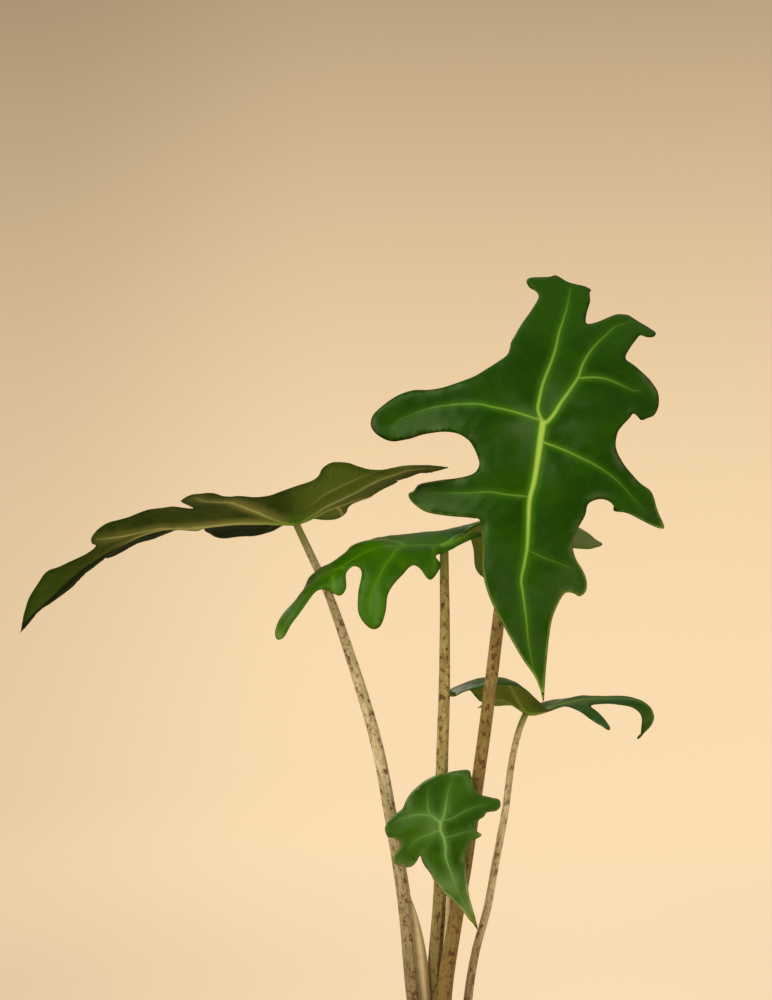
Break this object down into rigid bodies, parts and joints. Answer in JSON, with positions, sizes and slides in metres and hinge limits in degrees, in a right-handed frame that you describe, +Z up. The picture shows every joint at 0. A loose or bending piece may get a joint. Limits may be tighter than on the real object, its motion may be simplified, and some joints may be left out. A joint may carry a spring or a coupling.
{
  "type": "potted alocasia portei",
  "caption": "Potted Alocasia portei: deeply lobed glossy leaf blades on long mottled stalks, in a plain tapered clay pot of bark mix.",
  "frame": {"origin": "centre of the pot's flat underside", "axes": "+Z up along the pot's axis, -Y towards the viewer of the picture, +X to the viewer's right"},
  "size_m": [0.4039, 0.1738, 0.6447],
  "materials": {
    "clay": "unglazed clay, matt",
    "bark_mix": "loose bark and compost, matt",
    "crown": "dry root stock, matt",
    "stalk": "living stalk, satin, mottled brown on pale green",
    "blade": "living leaf, glossy above and satin below"
  },
  "bodies": {
    "root": {"pot": "clay", "soil": "bark_mix", "crown": "crown", "stalk_upper": "stalk", "blade_upper": "blade", "stalk_left": "stalk", "blade_left": "blade", "stalk_drooping": "stalk", "blade_drooping": "blade", "stalk_hooked": "stalk", "blade_hooked": "blade", "stalk_front": "stalk", "blade_front": "blade"}
  },
  "joints": []
}
